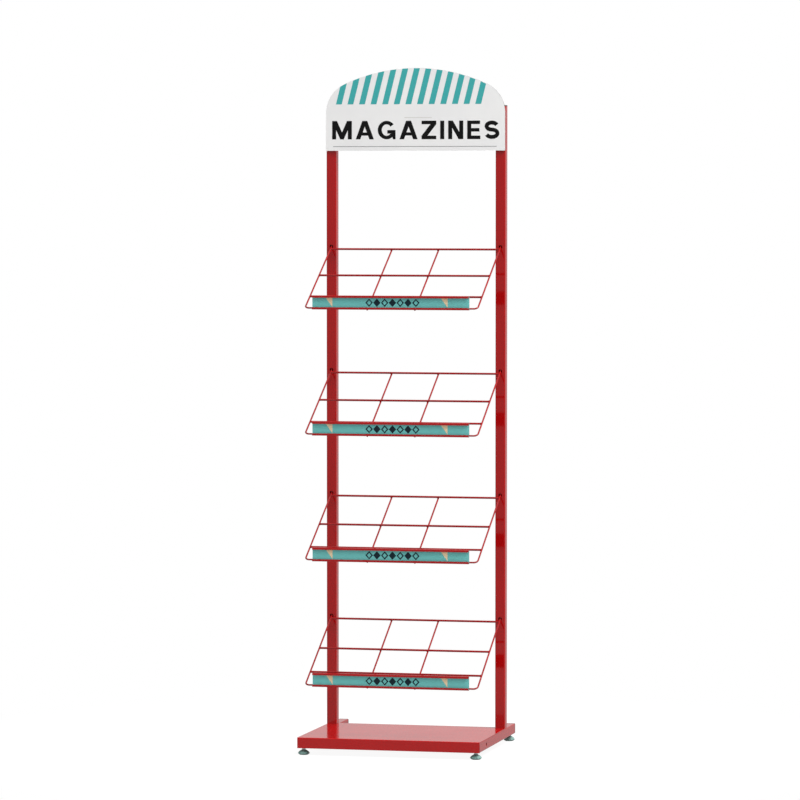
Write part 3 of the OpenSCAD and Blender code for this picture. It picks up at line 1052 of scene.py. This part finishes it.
def foot_stud(foot):
    """A zinc stud: a spanner hexagon on the pad and a rolled thread above it."""
    low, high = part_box(f"{foot}_foot_stud")
    centre = middle(f"{foot}_foot_stud")
    pad_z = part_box(f"{foot}_foot_pad")[1].z
    thread_z = pad_z + HEX_H
    rings = [circle_ring(STUD_R, low.z, STUD_SIDES), circle_ring(STUD_R, pad_z, STUD_SIDES)]
    rings += hexagon_rings(pad_z)
    rings.append(circle_ring(STUD_R - THREAD_DEPTH, thread_z, STUD_SIDES))
    for row in range(int((high.z - thread_z) / THREAD_PITCH * THREAD_ROWS)):
        rings.append(thread_ring(thread_z + (row + 1) * THREAD_PITCH / THREAD_ROWS, high.z))
    bm = bmesh.new()
    loft(bm, rings, Matrix.Translation((centre.x, centre.y, 0)))
    mesh = mesh_from(f"{foot}_foot_thread", bm, smooth_angle=35)
    piece = new_object(f"{foot}_foot_thread", mesh, zinc, f"{foot}_foot")
    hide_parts(f"{foot}_foot_stud")


# ---------- tube caps ----------

UP = Vector((0, 0, 1))
BACK = Vector((0, 1, 0))

# Thickness of the caps' heads, as in the CAD source
POST_CAP_HEAD = 2.5 * MM
RAIL_CAP_HEAD = 5 * MM

# Plug: its play and wall inside the tube's outside, and its lead-in
PLUG_INSET = 1.8 * MM
PLUG_CORNER = 1 * MM
LEAD_H = 1 * MM
LEAD_INSET = 0.6 * MM
LEAD_CORNER = 0.5 * MM

# Head: corner radius, chamfer at the tube, rounded rim, and the sink in its face
HEAD_CORNER = 2.5 * MM
HEAD_CHAMFER = 0.15 * MM
CHAMFER_CORNER = 2.3 * MM
RIM_H = 1 * MM
CAP_RIM_STEPS = 4
CORNER_CLOSING = 0.4
SINK_INSET = 3 * MM
SINK_CORNER = 1.6 * MM
SINK_SLOPE = 0.4 * MM
SINK_FLOOR_CORNER = 1.5 * MM
SINK_DEPTH = 0.3 * MM


def cap_profile(half, length, head):
    """Half side, corner radius and height of the cap's rings, from the plug's end outwards."""
    plug = length - head
    inner = half - PLUG_INSET
    profile = [(inner - LEAD_INSET, LEAD_CORNER, 0), (inner, PLUG_CORNER, LEAD_H)]
    profile.append((inner, PLUG_CORNER, plug))
    profile.append((half - HEAD_CHAMFER, CHAMFER_CORNER, plug))
    profile.append((half, HEAD_CORNER, plug + HEAD_CHAMFER))
    for k in range(CAP_RIM_STEPS + 1):
        a = k / CAP_RIM_STEPS * math.pi / 2
        inset = RIM_H * (1 - math.cos(a))
        z = length - RIM_H + RIM_H * math.sin(a)
        profile.append((half - inset, HEAD_CORNER - inset * CORNER_CLOSING, z))
    profile.append((half - SINK_INSET, SINK_CORNER, length))
    profile.append((half - SINK_INSET - SINK_SLOPE, SINK_FLOOR_CORNER, length - SINK_DEPTH))
    return profile


def tube_cap(node, outward, head):
    """A moulded cap: plug in the tube, head with rounded rim and a slight sink."""
    low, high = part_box(node)
    length = (high - low).dot(outward)
    plug_end = middle(node) - outward * length / 2
    turn = UP.rotation_difference(outward).to_matrix().to_4x4()
    rings = [square_ring(*ring) for ring in cap_profile((high.x - low.x) / 2, length, head)]
    bm = bmesh.new()
    loft(bm, rings, Matrix.Translation(plug_end) @ turn)
    mesh = mesh_from(f"{node}_moulding", bm, smooth_angle=35)
    piece = new_object(f"{node}_moulding", mesh, cap_plastic, "stand")
    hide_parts(node)


# ---------- floor ----------

FLOOR_R = 3.2
FLOOR_SIDES = 96

# Distance from the middle over which the shadow's catcher fades out into plain white
SHADOW_R = (0.75, 1.25)

# Near the rack the camera sees a glow and, on it, matt paint that takes the shadow
FLOOR_GLOW = 0.93
FLOOR_CATCH = 0.09

# What the rack gets from the floor: matt bounce light, and brightness in reflections
FLOOR_BOUNCE = 0.42
FLOOR_GLOSS = 0.5


def floor_material():
    """White to the camera but for the shadow, and a plain grey to the rack."""
    material = bpy.data.materials.new("floor")
    material.use_nodes = True
    graph = Graph(material.node_tree)
    near = graph.add("ShaderNodeAddShader")
    graph.filled(near, graph.emission(FLOOR_GLOW), graph.matt_grey(FLOOR_CATCH))
    distance = graph.vector("LENGTH", graph.coordinates("Object")).outputs["Value"]
    far = graph.span(distance, *SHADOW_R)
    shown = graph.between(far, near.outputs[0], graph.emission(1))
    surface = graph.by_ray(graph.matt_grey(FLOOR_BOUNCE), graph.emission(FLOOR_GLOSS), shown)
    graph.show(surface)
    return material


def white_floor():
    """Pale floor that takes the rack's shadow and stays under the lowest foot."""
    bm = bmesh.new()
    bmesh.ops.create_circle(bm, cap_ends=True, segments=FLOOR_SIDES, radius=FLOOR_R)
    mesh = mesh_from("floor", bm)
    mesh.materials.append(floor_material())
    floor = bpy.data.objects.new("floor", mesh)
    bpy.context.scene.collection.objects.link(floor)
    for foot in FEET:
        below = floor.constraints.new("FLOOR")
        below.target = frame["bodies"][f"{foot}_foot"]
        below.floor_location = "FLOOR_NEGATIVE_Z"


# ---------- light and camera ----------

# Soft light on the rack: its level at the horizon, and what it gains towards the zenith
ROOM_LIGHT = 0.53
SKY_LIGHT = 0.55

# Brightness in reflections: the room, and a pale backdrop with a soft edge
GLOSS_ROOM = 0.42
GLOSS_BACKDROP = 0.64
BACKDROP_FROM = Vector((-0.35, 0.93, 0.05))
BACKDROP_EDGE = (0.66, 0.97)

# Key lamp, metres and watts
LAMP_AIM = Vector((0, 0, 0.85))
KEY_FROM = Vector((0.58, -0.2, 0.79))
KEY_DISTANCE = 8.0
KEY_SIZE = 4.8
KEY_POWER = 840

# Camera: its place, angle below the horizon, turn from straight ahead, and lens in mm
EYE = (2.5555, -11.0030, 1.3694)
EYE_DOWN = math.radians(2.6107)
EYE_TURN = math.radians(13.1715)
LENS = 207.88
SENSOR = 36
CLIP_END = 200


def studio_world():
    """Soft light that grows towards the zenith; grey with a pale backdrop in reflections."""
    world = bpy.data.worlds.new("studio")
    bpy.context.scene.world = world
    world.use_nodes = True
    graph = Graph(world.node_tree)
    direction = graph.coordinates("Generated")
    towards = graph.vector("DOT_PRODUCT", direction, BACKDROP_FROM.normalized())
    levels = (GLOSS_ROOM, GLOSS_BACKDROP)
    gloss = graph.span(towards.outputs["Value"], *BACKDROP_EDGE, to=levels)
    height = graph.math("MAXIMUM", graph.split(direction)["Z"], 0)
    soft = graph.math("MULTIPLY_ADD", graph.math("MULTIPLY", height, height), SKY_LIGHT, ROOM_LIGHT)
    surface = graph.by_ray(graph.background(soft), graph.background(gloss), graph.background(1))
    graph.show(surface, output="ShaderNodeOutputWorld")


def key_lamp():
    """A large soft lamp over the right side, aimed at the middle of the rack."""
    light = bpy.data.lights.new("key", "AREA")
    light.shape = "SQUARE"
    light.size = KEY_SIZE
    light.energy = KEY_POWER
    lamp = bpy.data.objects.new("key", light)
    bpy.context.scene.collection.objects.link(lamp)
    direction = KEY_FROM.normalized()
    lamp.location = LAMP_AIM + direction * KEY_DISTANCE
    lamp.rotation_mode = "QUATERNION"
    lamp.rotation_quaternion = direction.to_track_quat("Z", "Y")


def camera():
    """The photograph's view: a long lens right of the rack, between top shelf and header."""
    lens = bpy.data.cameras.new("camera")
    lens.sensor_width = SENSOR
    lens.lens = LENS
    lens.clip_end = CLIP_END
    eye = bpy.data.objects.new("camera", lens)
    eye.location = EYE
    eye.rotation_euler = (math.pi / 2 - EYE_DOWN, 0, EYE_TURN)
    bpy.context.scene.collection.objects.link(eye)
    bpy.context.scene.camera = eye


# ---------- build ----------

camera()
dress_cad_nodes()
header_stripes()
header_word()
header_rule("header_rule_low", LOW_RULE, grey_ink)
header_rule("header_rule_high", HIGH_RULE, pale_ink)
for i in SHELVES:
    label_triangles(i)
    label_band(i)
    shelf_welds(i)
for foot in FEET:
    foot_pad(foot)
    foot_stud(foot)
for side in ("left", "right"):
    tube_cap(f"{side}_post_cap", UP, POST_CAP_HEAD)
    tube_cap(f"{side}_rail_cap", BACK, RAIL_CAP_HEAD)
white_floor()
studio_world()
key_lamp()
bpy.context.scene.view_settings.view_transform = "Standard"
